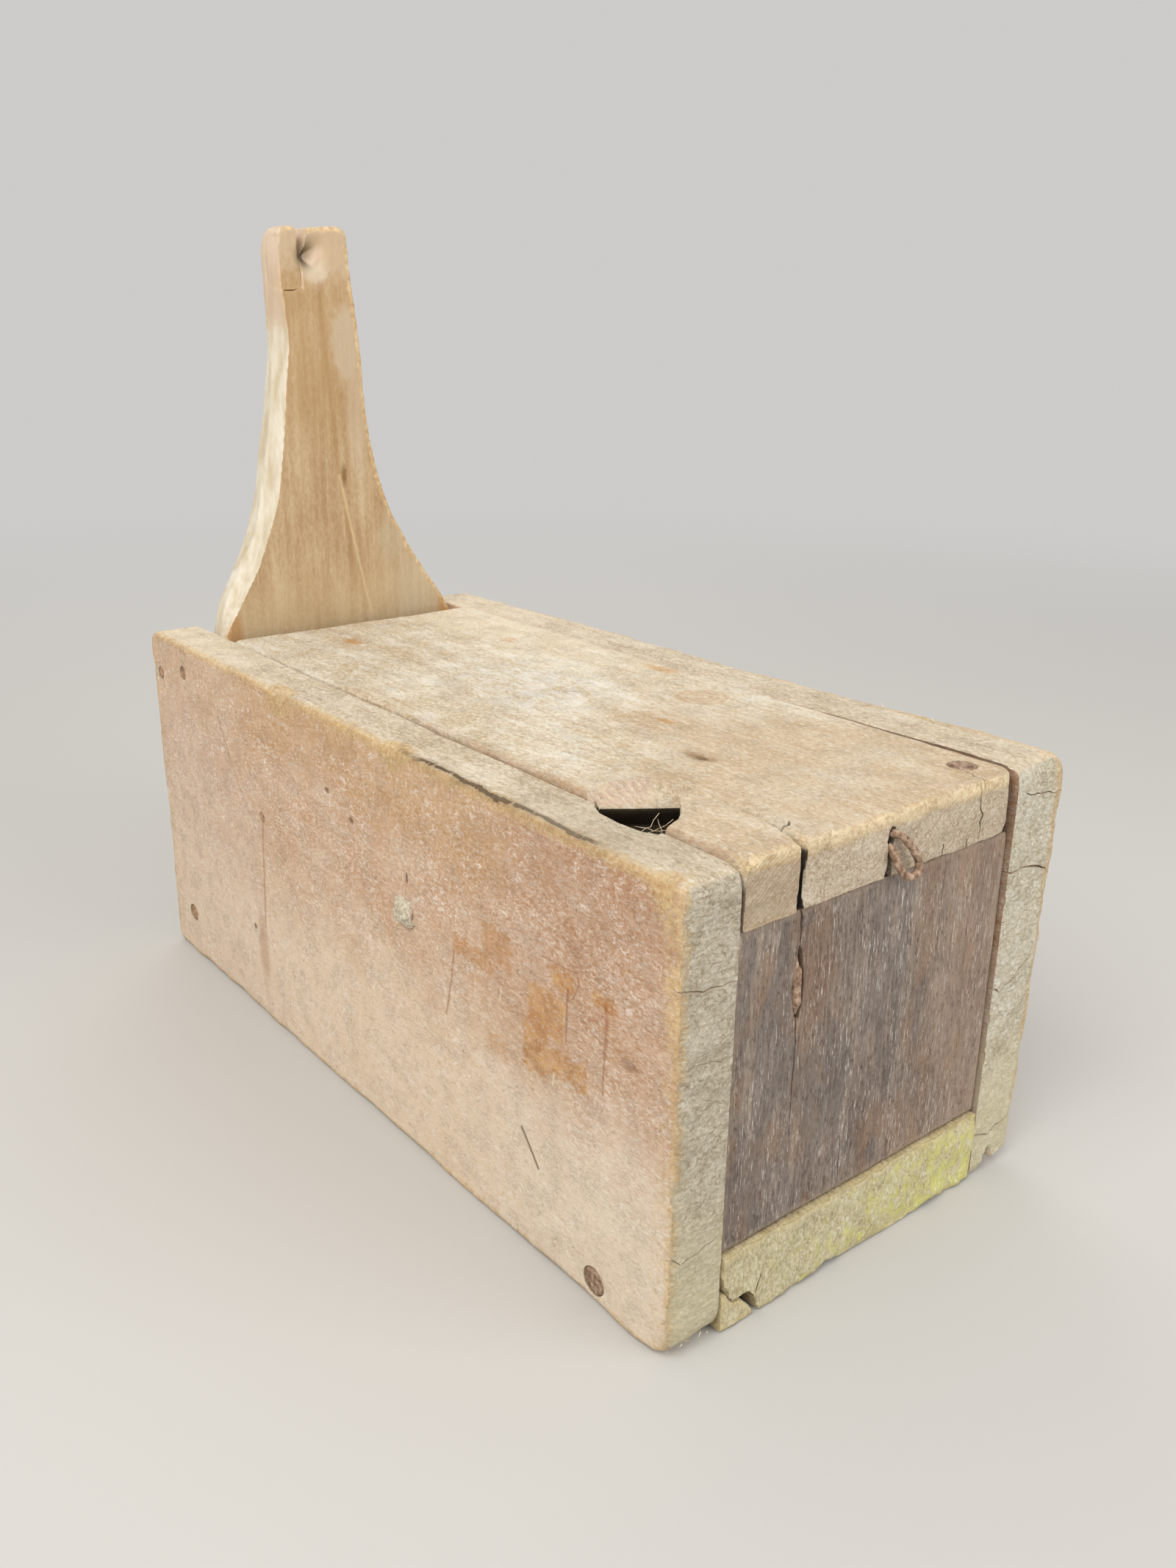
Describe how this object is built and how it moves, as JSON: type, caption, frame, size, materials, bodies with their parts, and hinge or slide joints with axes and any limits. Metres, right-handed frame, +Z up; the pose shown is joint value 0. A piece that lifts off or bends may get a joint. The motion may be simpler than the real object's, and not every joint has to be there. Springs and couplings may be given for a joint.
{
  "type": "wooden box trap",
  "caption": "Long nailed plank box trap: closed near end, trigger hole at the edge of the top, and a tall tapering drop door that slides up between battens at the far end.",
  "frame": {"origin": "centre of the underside of the box body: middle of the outside width and of the side boards' length, on the ground plane", "axes": "+Z up, +Y along the box from the closed end to the door end, +X across the box to the right when looking along +Y; the trigger hole is on the -X side"},
  "size_m": [0.155, 0.3298, 0.2964],
  "materials": {
    "side_wood": "weathered, dry, unfinished",
    "top_wood": "weathered, dry, unfinished",
    "panel_wood": "dark, weathered, unfinished",
    "bottom_wood": "weathered, stained, unfinished",
    "door_wood": "worn smooth, unfinished",
    "batten_wood": "dry, unfinished",
    "rusty_iron": "rusty"
  },
  "bodies": {
    "box": {"left_side_board": "side_wood", "right_side_board": "side_wood", "top_board": "top_wood", "top_board_split_piece": "top_wood", "back_panel": "panel_wood", "bottom_board": "bottom_wood", "bottom_board_broken_corner": "bottom_wood", "door_guide_left_near": "batten_wood", "door_guide_left_near_brad": "rusty_iron", "door_guide_left_far": "batten_wood", "door_guide_left_far_brad": "rusty_iron", "left_nail_bottom_near": "rusty_iron", "left_nail_bottom_far": "rusty_iron", "left_nail_guide_near": "rusty_iron", "left_nail_guide_far": "rusty_iron", "bottom_nail_left": "rusty_iron", "door_guide_right_near": "batten_wood", "door_guide_right_near_brad": "rusty_iron", "door_guide_right_far": "batten_wood", "door_guide_right_far_brad": "rusty_iron", "right_nail_bottom_near": "rusty_iron", "right_nail_bottom_far": "rusty_iron", "right_nail_guide_near": "rusty_iron", "right_nail_guide_far": "rusty_iron", "bottom_nail_right": "rusty_iron", "left_nail_stub": "rusty_iron", "top_nail_left": "rusty_iron", "top_nail_right": "rusty_iron", "top_nail_middle_bent": "rusty_iron"},
    "door": {"drop_door": "door_wood"}
  },
  "joints": [
    {"name": "door_slide", "type": "slide", "parent": "box", "child": "door", "axis": [0, 0, 1], "range_m": [0, 0.097]}
  ]
}
